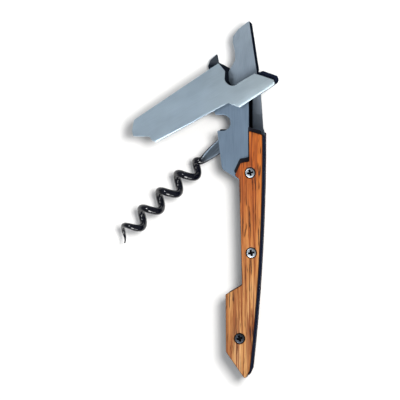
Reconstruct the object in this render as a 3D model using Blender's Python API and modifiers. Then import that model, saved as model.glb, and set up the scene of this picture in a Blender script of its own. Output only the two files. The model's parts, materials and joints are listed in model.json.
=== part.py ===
"""A waiter's corkscrew: handle, two-cheek lever, foil blade and worm.

It lies on its back scale. X runs across the handle, Y along it towards the head, and Z up
through its layers. The origin is on the back scale's outer face, between the upper screws.
Lengths are in millimetres, and MM turns them into metres.
"""

import math

import bmesh
import bpy
from mathutils import Vector

MM = 0.001

# The layers, from the back up.
SCALE_THICKNESS = 2.8
REST_GAP = 0.3
LINER_THICKNESS = 1.0
SPACE = 10.0
BACK_LINER_Z = SCALE_THICKNESS + REST_GAP
SPACE_Z = BACK_LINER_Z + LINER_THICKNESS
FRONT_LINER_Z = SPACE_Z + SPACE
FRONT_SCALE_Z = FRONT_LINER_Z + LINER_THICKNESS + REST_GAP
FRONT_FACE_Z = FRONT_SCALE_Z + SCALE_THICKNESS
MIDDLE_Z = FRONT_FACE_Z / 2

# The lever's cheeks run outside the liners, on washers.
RUN_GAP = 0.1
WASHER_THICKNESS = 0.4
CHEEK_THICKNESS = 1.6
WASHER_SPACE = WASHER_THICKNESS + 2 * RUN_GAP
FRONT_CHEEK_Z = FRONT_LINER_Z + LINER_THICKNESS + WASHER_SPACE
BACK_CHEEK_Z = BACK_LINER_Z - WASHER_SPACE - CHEEK_THICKNESS

# Pivots and pins.
LEVER_PIVOT = (-2.9, 52.5)
WORM_PIVOT = (-4.2, 37.5)
AXLE_RADIUS = 1.5
WORM_PIN_RADIUS = 1.25
COLLAR_RADIUS = 2.3
FIT = 0.08
FLUSH = 0.1
PIN_INSET = 0.05
SCREW_PLACES = [(0.2, 19.6), (0.5, -13.8), (-4.6, -49.6)]
SCREW_HEAD_RADIUS = 2.0
SCREW_HEAD_HEIGHT = 1.3
SCREW_SHANK_RADIUS = 1.0
SCREW_LENGTH = 6.5
SCREW_DOME = 0.45
SHANK_CLEARANCE = 0.2
COUNTERBORE_RADIUS = 2.25
COUNTERBORE_DEPTH = 1.5
SLOT_WIDTH = 0.55
SLOT_LENGTH = 2.3
SLOT_DEPTH = 0.7
NUT_RADIUS = 1.7
HEEL_RIVETS = [(7.75, 57.3), (9.3, 57.6)]
RIVET_RADIUS = 0.5

# The handle's back is one long arc.
BACK_RADIUS = 862.0
BACK_APEX = (5.4, 37.4)
SPRING_WIDTH = 1.3
SPRING_TOP = 34.4
SPRING_FOOT = -29.5

# The blade and the worm.
BLADE_THICKNESS = 1.6
BLADE_Z = MIDDLE_Z + 1.6
WIRE_RADIUS = 1.55
COIL_RADIUS = 3.2
COIL_NARROWING = 0.4
COIL_PITCH = 10.47
WORM_ANGLE = math.radians(223.2)
COIL_OFFSET = 1.7
COIL_START = 22.2
RAMP_START = 20.8
RAMP_LENGTH = 4.2
WORM_END = 68.7
TIP_TAPER = 9.5
TIP_SHARE = 0.26
TANG_HALF_THICKNESS = 1.2
TANG_EYE_RADIUS = 2.75
TANG_DISTANCES = (2.0, 6.0, 10.0, 14.0, 17.0, 19.6)
TANG_NARROWING = 1.15
TANG_ROUNDNESS = 0.35
WIRE_STEP = 0.8
WIRE_SECTIONS = 88

ROUND_STEPS = 24
HIDDEN_STEPS = 16
FILLET_STEPS = 3

COLOURS = {
    "wood": ((0.62, 0.27, 0.08), 0.0, 0.5),
    "cheek_steel": ((0.66, 0.74, 0.80), 1.0, 0.35),
    "plate_steel": ((0.38, 0.46, 0.55), 1.0, 0.4),
    "dark_steel": ((0.05, 0.07, 0.12), 1.0, 0.4),
    "screw_steel": ((0.62, 0.66, 0.70), 1.0, 0.3),
    "black_wire": ((0.012, 0.013, 0.018), 0.2, 0.12),
}


def clear_scene():
    for item in list(bpy.data.objects):
        bpy.data.objects.remove(item, do_unlink=True)


def new_collection(name):
    collection = bpy.data.collections.new(name)
    bpy.context.scene.collection.children.link(collection)
    return collection


def make_materials():
    materials = {}
    for name, (colour, metallic, roughness) in COLOURS.items():
        material = bpy.data.materials.new(name)
        material.use_nodes = True
        shader = material.node_tree.nodes["Principled BSDF"]
        shader.inputs["Base Color"].default_value = (*colour, 1.0)
        shader.inputs["Metallic"].default_value = metallic
        shader.inputs["Roughness"].default_value = roughness
        materials[name] = material
    return materials


# Outlines: a corner is (x, y, fillet radius).

def fillet(before, corner, after, radius):
    """Points of the arc that rounds one corner of an outline."""
    point = Vector(corner)
    back = (Vector(before) - point)
    ahead = (Vector(after) - point)
    half_turn = back.angle(ahead) / 2
    reach = radius / math.tan(half_turn)
    reach = min(reach, 0.49 * back.length, 0.49 * ahead.length)
    radius = reach * math.tan(half_turn)
    centre = point + (back.normalized() + ahead.normalized()).normalized() * (radius / math.sin(half_turn))
    start = point + back.normalized() * reach - centre
    end = point + ahead.normalized() * reach - centre
    turn = start.angle_signed(end)
    points = []
    for step in range(FILLET_STEPS + 1):
        angle = -turn * step / FILLET_STEPS
        spoke = Vector((start.x * math.cos(angle) - start.y * math.sin(angle),
                        start.x * math.sin(angle) + start.y * math.cos(angle)))
        points.append(tuple(centre + spoke))
    return points


def rounded(corners):
    """The outline through the corners, with each corner's fillet."""
    points = []
    count = len(corners)
    for index, (x, y, radius) in enumerate(corners):
        if radius <= 0:
            points.append((x, y))
            continue
        before = corners[index - 1][:2]
        after = corners[(index + 1) % count][:2]
        points += fillet(before, (x, y), after, radius)
    return points


def arc(centre, radius, start, end, steps):
    """Corners without fillets along an arc, its angles in degrees."""
    corners = []
    for step in range(steps + 1):
        angle = math.radians(start + (end - start) * step / steps)
        corners.append((centre[0] + radius * math.cos(angle), centre[1] + radius * math.sin(angle), 0))
    return corners


def circle(centre, radius, steps=ROUND_STEPS):
    return [corner[:2] for corner in arc(centre, radius, 0, 360, steps)[:-1]]


def back_x(y):
    """Where the handle's back arc is at this height."""
    return BACK_APEX[0] - BACK_RADIUS + math.sqrt(BACK_RADIUS ** 2 - (y - BACK_APEX[1]) ** 2)


def back_edge(low, high, inset=0.0, steps=10):
    """Corners up the handle's back, from low to high."""
    heights = [low + (high - low) * step / steps for step in range(steps + 1)]
    return [(back_x(y) - inset, y, 0) for y in heights]


def butt_corners():
    """The belly and butt, shared by scales and liners, from the butt's tip round to the belly's top."""
    tip = [(-2.3, -66.9, 0.8)]
    return tip + back_edge(-63.0, 34.6)


def belly_corners():
    return [(-3.5, -27.2, 0.8), (-10.4, -31.2, 0.5), (-10.4, -55.2, 0.9)]


def scale_outline():
    top = [(back_x(35.4), 35.4, 0.6), (-0.2, 37.1, 0.4)]
    step = [(-0.2, 24.4, 0.4), (-3.75, 23.75, 0.6), (-6.25, 18.6, 0.5), (-4.4, 16.8, 0.6)]
    return rounded(butt_corners() + top + step + belly_corners())


def head_corners():
    """The head plate's left side, from the lever pivot's boss down to the belly."""
    boss = arc(LEVER_PIVOT, 2.45, 0, 130, 8)
    shoulder = [(-9.0, 54.0, 2.0), (-14.4, 48.4, 2.0), (-15.1, 45.2, 0.3), (-14.4, 43.7, 0.3)]
    notch = arc((-11.4, 40.35), 3.3, 90, -90, 10)
    cheek = [(-13.75, 37.05, 0.3), (-11.9, 21.1, 2.2), (-6.9, 17.9, 0.8), (-4.4, 16.2, 0.8)]
    return boss + shoulder + notch + cheek


def front_liner_outline():
    neck = [(back_x(35.0), 35.0, 0.5), (-0.45, 36.6, 0)]
    return rounded(butt_corners() + neck + head_corners() + belly_corners())


def back_liner_outline():
    strip = [(back_x(35.0), 35.0, 0), (4.5, 37.0, 1.0), (3.5, 52.6, 0.8), (-0.45, 53.2, 0)]
    return rounded(butt_corners() + strip + head_corners()[1:] + belly_corners())


def lever_foot_corners():
    """The lever's arm from its shoulder over the foot to its heel, which both cheeks share."""
    foot = [(-48.3, 41.7, 0.8), (-49.2, 37.1, 0.8), (-48.75, 34.9, 0.6), (-41.9, 34.8, 0.5)]
    hook = [(-40.8, 33.0, 0.6), (-39.0, 32.4, 0.8)]
    edge = [(-8.75, 48.75, 0.4), (-4.2, 46.8, 0.4), (10.9, 56.6, 1.2), (10.2, 58.4, 0.5)]
    return foot + hook + edge


def front_cheek_outline():
    notch = [(2.3, 61.0, 0.4), (-4.8, 56.7, 0)]
    bowl = arc((-6.9, 59.3), 3.4, -62, -170, 8)
    lip = [(-10.0, 62.0, 0.5), (-12.8, 65.3, 0.4)]
    return rounded(lever_foot_corners() + notch + bowl + lip)


def back_cheek_outline():
    notch = [(2.3, 61.0, 0.4), (-4.8, 57.4, 1.0), (-9.2, 62.2, 1.2), (-12.4, 64.0, 1.0)]
    tooth = [(-14.2, 64.8, 0.8), (-14.9, 68.5, 0.25)]
    outside = [(-17.7, 66.1, 1.6), (-18.7, 63.4, 0.8), (-18.2, 61.6, 0.6)]
    return rounded(lever_foot_corners() + notch + tooth + outside)


def heel_outline():
    """The block fills the heel between the cheeks, from beside the blade to the heel's end."""
    top = [(11.2, 57.1, 1.2), (10.5, 59.3, 1.2), (4.2, 61.5, 0.2)]
    return rounded([(4.2, 58.7, 0.6), (5.6, 57.6, 0.8), (7.6, 54.9, 0.4)] + top)


def blade_outline():
    """The blade stands up from its eye, with its straight edge on +X."""
    edge = [(3.55, 62.1, 0.8), (0.75, 81.4, 0.3), (-0.5, 82.7, 0.5)]
    back = [(-4.9, 79.2, 1.2), (-7.1, 76.3, 1.2), (-7.3, 73.8, 1.0), (-6.4, 70.4, 1.2), (-6.3, 66.4, 1.0)]
    base = [(-7.8, 63.6, 0.6), (-9.1, 61.6, 1.0), (-9.0, 57.6, 1.0)]
    eye = arc(LEVER_PIVOT, 2.75, 200, 350, 8)
    return rounded(edge + back + base + eye)


def spring_outline():
    outside = back_edge(SPRING_FOOT, SPRING_TOP, PIN_INSET)
    inside = back_edge(SPRING_FOOT, SPRING_TOP, SPRING_WIDTH)
    return [corner[:2] for corner in outside + inside[::-1]]


def butt_spacer_outline():
    outside = back_edge(-62.5, SPRING_FOOT - REST_GAP, PIN_INSET, 6)
    inner = [(1.4, SPRING_FOOT - REST_GAP, 0.4), (0.2, -34.0, 1.0), (-10.1, -34.0, 0.6), (-10.1, -55.0, 0.9)]
    return rounded([(-2.4, -66.4, 0.8)] + outside + inner)


# Pieces.

def plate(name, outline, low, height, holes=()):
    """A flat piece cut from sheet, as a welded mesh object."""
    curve = bpy.data.curves.new(name + "_outline", "CURVE")
    curve.dimensions = "2D"
    curve.fill_mode = "BOTH"
    curve.extrude = height / 2 * MM
    for loop in [outline, *holes]:
        spline = curve.splines.new("POLY")
        spline.points.add(len(loop) - 1)
        for point, (x, y) in zip(spline.points, loop):
            point.co = (x * MM, y * MM, 0, 1)
        spline.use_cyclic_u = True
    guide = bpy.data.objects.new(name + "_guide", curve)
    bpy.context.scene.collection.objects.link(guide)
    guide.location.z = (low + height / 2) * MM
    bpy.context.view_layer.update()
    evaluated = guide.evaluated_get(bpy.context.evaluated_depsgraph_get())
    mesh = bpy.data.meshes.new_from_object(evaluated)
    weld(mesh)
    piece = bpy.data.objects.new(name, mesh)
    piece.matrix_world = guide.matrix_world
    bpy.data.objects.remove(guide, do_unlink=True)
    bpy.data.curves.remove(curve)
    return piece


def weld(mesh):
    shape = bmesh.new()
    shape.from_mesh(mesh)
    bmesh.ops.remove_doubles(shape, verts=shape.verts, dist=0.002 * MM)
    bmesh.ops.recalc_face_normals(shape, faces=shape.faces)
    shape.to_mesh(mesh)
    shape.free()


def turned(name, place, profile, steps=ROUND_STEPS):
    """A turned piece on a Z axis, from a closed or axis-to-axis profile of (radius, z)."""
    mesh = bpy.data.meshes.new(name)
    shape = bmesh.new()
    verts = [shape.verts.new((radius * MM, 0, z * MM)) for radius, z in profile]
    on_axis = profile[0][0] == 0
    pairs = list(zip(verts, verts[1:]))
    if not on_axis:
        pairs.append((verts[-1], verts[0]))
    for first, second in pairs:
        shape.edges.new((first, second))
    shape.to_mesh(mesh)
    shape.free()
    piece = bpy.data.objects.new(name, mesh)
    piece.location = (place[0] * MM, place[1] * MM, 0)
    screw = piece.modifiers.new("Turn", "SCREW")
    screw.steps = steps
    screw.render_steps = steps
    screw.use_merge_vertices = True
    screw.merge_threshold = 0.00001
    return piece


def rod(name, place, radius, low, high, steps=ROUND_STEPS):
    chamfer = min(0.15, radius / 4)
    profile = [(0, high), (radius - chamfer, high), (radius, high - chamfer),
               (radius, low + chamfer), (radius - chamfer, low), (0, low)]
    return turned(name, place, profile, steps)


def ring(name, place, inner, outer, low, high):
    return turned(name, place, [(outer, high), (outer, low), (inner, low), (inner, high)], HIDDEN_STEPS)


def screw_piece(name, place, flip):
    """A cross-head screw seen from the front, or turned over for the back."""
    head_top = FRONT_FACE_Z - FLUSH
    head_low = head_top - SCREW_HEAD_HEIGHT
    end = head_top - SCREW_LENGTH
    profile = [(0, head_top), (SCREW_HEAD_RADIUS * 0.7, head_top - SCREW_DOME / 4),
               (SCREW_HEAD_RADIUS, head_top - SCREW_DOME), (SCREW_HEAD_RADIUS, head_low),
               (SCREW_SHANK_RADIUS, head_low), (SCREW_SHANK_RADIUS, end), (0, end)]
    if flip:
        profile = [(radius, FRONT_FACE_Z - z) for radius, z in reversed(profile)]
        head_top = FRONT_FACE_Z - head_top
    piece = turned(name, place, profile)
    for length, width in ((SLOT_LENGTH, SLOT_WIDTH), (SLOT_WIDTH, SLOT_LENGTH)):
        slot = block(name + "_slot", (place[0], place[1], head_top), (length, width, 2 * SLOT_DEPTH))
        cut(piece, slot)
    return piece


def block(name, centre, size):
    mesh = bpy.data.meshes.new(name)
    shape = bmesh.new()
    bmesh.ops.create_cube(shape, size=1.0)
    bmesh.ops.scale(shape, vec=[side * MM for side in size], verts=shape.verts)
    shape.to_mesh(mesh)
    shape.free()
    piece = bpy.data.objects.new(name, mesh)
    piece.location = [value * MM for value in centre]
    return piece


def cut(piece, cutter):
    cutter.hide_render = True
    cutter.display_type = "WIRE"
    CUTTERS.objects.link(cutter)
    boolean = piece.modifiers.new(cutter.name, "BOOLEAN")
    boolean.operation = "DIFFERENCE"
    boolean.object = cutter


def scale_piece(name, low, outer_z, inward):
    """A wooden scale, counterbored for its three screws; inward is -1 where the face looks up."""
    piece = plate(name, scale_outline(), low, SCALE_THICKNESS)
    soften(piece, 0.45, 2)
    for index, place in enumerate(SCREW_PLACES, start=1):
        floor = outer_z + inward * COUNTERBORE_DEPTH
        out = outer_z - inward
        through = outer_z + inward * (SCALE_THICKNESS + 1)
        narrow = SCREW_SHANK_RADIUS + SHANK_CLEARANCE
        profile = [(0, out), (COUNTERBORE_RADIUS, out), (COUNTERBORE_RADIUS, floor),
                   (narrow, floor), (narrow, through), (0, through)]
        if inward > 0:
            profile.reverse()
        cut(piece, turned(f"{name}_bore_{index}", place, profile))
    return piece


def soften(piece, width, segments):
    """Rounds the sharp edges of a flat piece."""
    bevel = piece.modifiers.new("Soften", "BEVEL")
    bevel.width = width * MM
    bevel.segments = segments
    bevel.limit_method = "ANGLE"
    bevel.angle_limit = math.radians(50)


# The worm is one forging: an eye and flat tang, then round wire in a coil.

def worm_axes():
    along = Vector((math.cos(WORM_ANGLE), math.sin(WORM_ANGLE), 0))
    across = Vector((-along.y, along.x, 0))
    return along, across


def coil_point(distance):
    """The wire's centre at this distance along the coil's axis from the pivot."""
    along, across = worm_axes()
    ramp = min(1.0, max(0.0, (distance - RAMP_START) / RAMP_LENGTH))
    narrowed = COIL_RADIUS - COIL_NARROWING * (distance - COIL_START) / (WORM_END - COIL_START)
    radius = narrowed * ramp * ramp * (3 - 2 * ramp)
    turn = 2 * math.pi * (distance - COIL_START) / COIL_PITCH
    side = -COIL_OFFSET - radius * math.cos(turn)
    rise = MIDDLE_Z - radius * math.sin(turn)
    return Vector((*WORM_PIVOT, rise)) + along * distance + across * side


def worm_sections():
    """(centre, half width, half thickness, roundness) of each section from the eye to the point."""
    sections = []
    pivot = Vector((*WORM_PIVOT, MIDDLE_Z))
    tang_end = coil_point(RAMP_START)
    reach = (tang_end - pivot).length
    along = (tang_end - pivot) / reach
    for degrees in (8, 30, 55, 80):
        angle = math.radians(degrees)
        centre = pivot - along * TANG_EYE_RADIUS * math.cos(angle)
        sections.append((centre, TANG_EYE_RADIUS * math.sin(angle), TANG_HALF_THICKNESS, TANG_ROUNDNESS))
    for distance in TANG_DISTANCES:
        part = distance / reach
        width = TANG_EYE_RADIUS - TANG_NARROWING * part ** 4
        thickness = TANG_HALF_THICKNESS + (WIRE_RADIUS - TANG_HALF_THICKNESS) * part ** 6
        sections.append((pivot + along * distance, width, thickness, TANG_ROUNDNESS + 0.5 * part ** 4))
    wire_start = RAMP_START + WIRE_STEP
    for step in range(1, WIRE_SECTIONS + 1):
        distance = wire_start + (WORM_END - wire_start) * step / WIRE_SECTIONS
        left = max(0.0, WORM_END - distance)
        radius = WIRE_RADIUS * min(1.0, max(TIP_SHARE, (left / TIP_TAPER) ** 0.6))
        sections.append((coil_point(distance), radius, radius, 1.0))
    return sections


def worm_piece(name, sides=8):
    sections = worm_sections()
    shape = bmesh.new()
    rings = []
    for index, (centre, width, thickness, roundness) in enumerate(sections):
        before = sections[max(index - 1, 0)][0]
        after = sections[min(index + 1, len(sections) - 1)][0]
        heading = (after - before).normalized()
        across = Vector((0, 0, 1)).cross(heading).normalized()
        upright = heading.cross(across)
        loop = []
        for side in range(sides):
            angle = 2 * math.pi * (side + 0.5) / sides
            u = math.copysign(abs(math.cos(angle)) ** roundness, math.cos(angle))
            v = math.copysign(abs(math.sin(angle)) ** roundness, math.sin(angle))
            point = centre + across * (u * width) + upright * (v * thickness)
            loop.append(shape.verts.new(point * MM))
        rings.append(loop)
    for first, second in zip(rings, rings[1:]):
        for side in range(sides):
            following = (side + 1) % sides
            shape.faces.new((first[side], first[following], second[following], second[side]))
    shape.faces.new(rings[0][::-1])
    shape.faces.new(rings[-1])
    bmesh.ops.recalc_face_normals(shape, faces=shape.faces)
    mesh = bpy.data.meshes.new(name)
    shape.to_mesh(mesh)
    shape.free()
    piece = bpy.data.objects.new(name, mesh)
    cutter = rod(name + "_eye", WORM_PIVOT, WORM_PIN_RADIUS + FIT, MIDDLE_Z - 3, MIDDLE_Z + 3)
    cut(piece, cutter)
    return piece


def add(piece, material, bend_angle=35):
    """Puts a finished piece in the object's collection with its material."""
    PIECES.objects.link(piece)
    piece.data.materials.clear()
    piece.data.materials.append(MATERIALS[material])
    piece.data.shade_smooth()
    piece.data.set_sharp_from_angle(angle=math.radians(bend_angle))
    return piece


def make_handle():
    add(scale_piece("back_scale", 0, 0, 1), "wood")
    add(scale_piece("front_scale", FRONT_SCALE_Z, FRONT_FACE_Z, -1), "wood")
    holes = [circle(place, SCREW_SHANK_RADIUS + SHANK_CLEARANCE) for place in SCREW_PLACES]
    holes.append(circle(LEVER_PIVOT, AXLE_RADIUS + FIT))
    holes.append(circle(WORM_PIVOT, WORM_PIN_RADIUS + FIT))
    add(plate("back_liner", back_liner_outline(), BACK_LINER_Z, LINER_THICKNESS, holes), "plate_steel")
    add(plate("front_liner", front_liner_outline(), FRONT_LINER_Z, LINER_THICKNESS, holes), "plate_steel")
    inside = SPACE - 2 * REST_GAP
    low = SPACE_Z + REST_GAP
    add(plate("back_spring", spring_outline(), low, inside), "dark_steel")
    nut_hole = [circle(SCREW_PLACES[2], NUT_RADIUS + REST_GAP, HIDDEN_STEPS)]
    add(plate("butt_spacer", butt_spacer_outline(), low, inside, nut_hole), "dark_steel")
    for index, place in enumerate(SCREW_PLACES, start=1):
        add(screw_piece(f"front_screw_{index}", place, False), "screw_steel")
        add(screw_piece(f"back_screw_{index}", place, True), "screw_steel")
        nut = ring(f"barrel_nut_{index}", place, SCREW_SHANK_RADIUS + FIT, NUT_RADIUS, low, low + inside)
        add(nut, "screw_steel")


def make_collar(name, pivot, hole, low, high):
    """A washer or collar that keeps its neighbours apart on a pin."""
    add(ring(name, pivot, hole, COLLAR_RADIUS, low, high), "screw_steel")


def make_pivots():
    cheek_face = FRONT_CHEEK_Z + CHEEK_THICKNESS
    liner_face = FRONT_LINER_Z + LINER_THICKNESS
    axle = rod("lever_axle", LEVER_PIVOT, AXLE_RADIUS, BACK_CHEEK_Z + FLUSH, cheek_face - FLUSH)
    add(axle, "screw_steel")
    pin = rod("worm_pin", WORM_PIVOT, WORM_PIN_RADIUS, BACK_LINER_Z + PIN_INSET, liner_face - PIN_INSET)
    add(pin, "screw_steel")
    low = liner_face + RUN_GAP
    hole = AXLE_RADIUS + FIT
    make_collar("front_lever_washer", LEVER_PIVOT, hole, low, low + WASHER_THICKNESS)
    low = BACK_LINER_Z - RUN_GAP - WASHER_THICKNESS
    make_collar("back_lever_washer", LEVER_PIVOT, hole, low, low + WASHER_THICKNESS)
    blade_top = BLADE_Z + BLADE_THICKNESS
    space_top = SPACE_Z + SPACE
    make_collar("blade_collar", LEVER_PIVOT, hole, SPACE_Z + RUN_GAP, BLADE_Z - RUN_GAP)
    make_collar("blade_washer", LEVER_PIVOT, hole, blade_top + RUN_GAP, space_top - RUN_GAP)
    hole = WORM_PIN_RADIUS + FIT
    tang_low = MIDDLE_Z - TANG_HALF_THICKNESS - RUN_GAP
    tang_high = MIDDLE_Z + TANG_HALF_THICKNESS + RUN_GAP
    make_collar("back_worm_collar", WORM_PIVOT, hole, SPACE_Z + RUN_GAP, tang_low)
    make_collar("front_worm_collar", WORM_PIVOT, hole, tang_high, space_top - RUN_GAP)


def make_lever():
    holes = [circle(LEVER_PIVOT, AXLE_RADIUS + FIT)]
    holes += [circle(place, RIVET_RADIUS + FIT, HIDDEN_STEPS) for place in HEEL_RIVETS]
    add(plate("front_cheek", front_cheek_outline(), FRONT_CHEEK_Z, CHEEK_THICKNESS, holes), "cheek_steel")
    add(plate("back_cheek", back_cheek_outline(), BACK_CHEEK_Z, CHEEK_THICKNESS, holes), "plate_steel")
    low = BACK_CHEEK_Z + CHEEK_THICKNESS + RUN_GAP
    high = FRONT_CHEEK_Z - RUN_GAP
    add(plate("heel_block", heel_outline(), low, high - low, holes[1:]), "dark_steel")
    cheek_face = FRONT_CHEEK_Z + CHEEK_THICKNESS
    for index, place in enumerate(HEEL_RIVETS, start=1):
        name = f"heel_rivet_{index}"
        low = BACK_CHEEK_Z + FLUSH
        add(rod(name, place, RIVET_RADIUS, low, cheek_face - FLUSH, HIDDEN_STEPS), "screw_steel")


def make_tools():
    eye = [circle(LEVER_PIVOT, AXLE_RADIUS + FIT)]
    add(plate("foil_blade", blade_outline(), BLADE_Z, BLADE_THICKNESS, eye), "plate_steel")
    add(worm_piece("worm"), "black_wire")


clear_scene()
MATERIALS = make_materials()
PIECES = new_collection("waiters_corkscrew")
CUTTERS = new_collection("cutters")
make_handle()
make_pivots()
make_lever()
make_tools()
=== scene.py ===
"""The looks of the waiter's corkscrew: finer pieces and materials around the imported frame.

Every flat piece is rebuilt from its CAD solid's own cross-section, so that it fits where the
solid is. Lengths are in millimetres, and MM turns them into metres.
"""

import json
import math

import bmesh
import bpy
from mathutils import Matrix, Vector

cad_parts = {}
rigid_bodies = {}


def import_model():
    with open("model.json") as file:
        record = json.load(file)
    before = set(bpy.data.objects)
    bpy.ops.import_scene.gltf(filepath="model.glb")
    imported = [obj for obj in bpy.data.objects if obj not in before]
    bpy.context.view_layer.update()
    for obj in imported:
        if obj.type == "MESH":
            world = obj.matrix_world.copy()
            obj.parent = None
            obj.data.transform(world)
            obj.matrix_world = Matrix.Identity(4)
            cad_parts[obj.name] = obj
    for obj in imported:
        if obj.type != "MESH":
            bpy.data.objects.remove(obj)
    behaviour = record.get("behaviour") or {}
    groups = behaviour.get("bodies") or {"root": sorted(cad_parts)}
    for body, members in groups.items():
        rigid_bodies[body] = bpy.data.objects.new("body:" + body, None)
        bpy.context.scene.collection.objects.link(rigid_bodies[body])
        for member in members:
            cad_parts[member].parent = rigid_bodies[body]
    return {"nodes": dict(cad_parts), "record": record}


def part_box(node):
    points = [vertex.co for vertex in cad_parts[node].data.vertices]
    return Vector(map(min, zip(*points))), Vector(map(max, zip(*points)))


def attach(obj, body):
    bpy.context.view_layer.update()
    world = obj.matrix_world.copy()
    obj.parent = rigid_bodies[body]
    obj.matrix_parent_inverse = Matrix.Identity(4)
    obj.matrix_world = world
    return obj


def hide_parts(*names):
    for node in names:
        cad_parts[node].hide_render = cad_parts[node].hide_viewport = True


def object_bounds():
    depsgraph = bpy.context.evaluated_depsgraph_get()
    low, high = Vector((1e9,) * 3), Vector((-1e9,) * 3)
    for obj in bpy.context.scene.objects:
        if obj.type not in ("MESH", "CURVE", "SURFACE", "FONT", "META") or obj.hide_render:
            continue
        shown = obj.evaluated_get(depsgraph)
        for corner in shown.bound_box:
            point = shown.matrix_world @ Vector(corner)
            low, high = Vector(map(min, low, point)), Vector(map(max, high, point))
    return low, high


MM = 0.001

for item in list(bpy.data.objects):
    bpy.data.objects.remove(item, do_unlink=True)
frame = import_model()
NODES = frame["nodes"]
CAD_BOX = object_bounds()

BODIES = frame["record"]["behaviour"]["bodies"]
NODE_BODY = {node: body for body, nodes in BODIES.items() for node in nodes}
NODE_SLOT = {entry["node"]: entry["material_slot"] for entry in frame["record"]["subparts"]}


# Materials.

# The colour sockets of a Mix node.
MIX_FACTOR, MIX_FIRST, MIX_SECOND, MIX_RESULT = 0, 6, 7, 2

# A surface whose normal's Z is below the first value is a side wall, and above the second is flat.
WALL = (0.35, 0.85)
WOOD_RIM = (0.45, 0.985)
WOOD_GLOSS_RIM = (0.30, 0.97)
SCREW_RIM = (0.70, 0.93)
WIRE_SIDE = (0.75, 0.97)


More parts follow.
